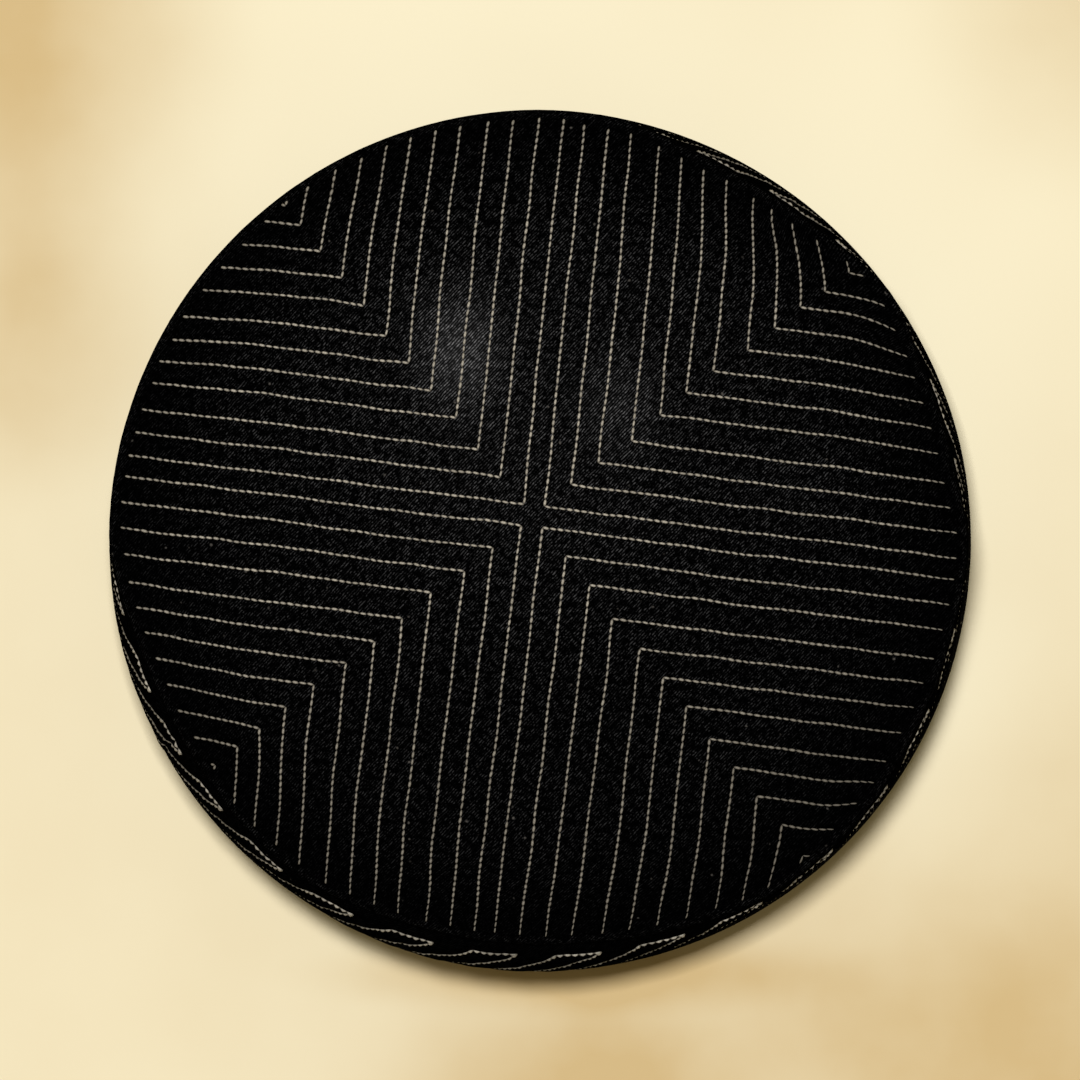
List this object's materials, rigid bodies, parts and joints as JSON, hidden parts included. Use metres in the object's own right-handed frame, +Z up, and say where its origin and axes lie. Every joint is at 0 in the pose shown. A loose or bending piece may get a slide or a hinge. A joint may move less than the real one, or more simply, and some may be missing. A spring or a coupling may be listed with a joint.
{
  "type": "prayer cap",
  "caption": "Round quilted cloth prayer cap with a flat, slightly domed crown sewn to an upright padded side band, open below for the head.",
  "frame": {"origin": "middle of the head opening, on the surface that the rim stands on", "axes": "+Z up through the crown, the cap's round axis; +X to the right and +Y to the top as the picture shows the crown"},
  "size_m": [0.1864, 0.1864, 0.0825],
  "materials": {
    "crown_cloth": "matt black twill, quilted with cream thread in nested right angles",
    "band_cloth": "matt black twill over wadding, quilted with cream thread"
  },
  "bodies": {
    "root": {"crown": "crown_cloth", "side_band": "band_cloth"}
  },
  "joints": []
}
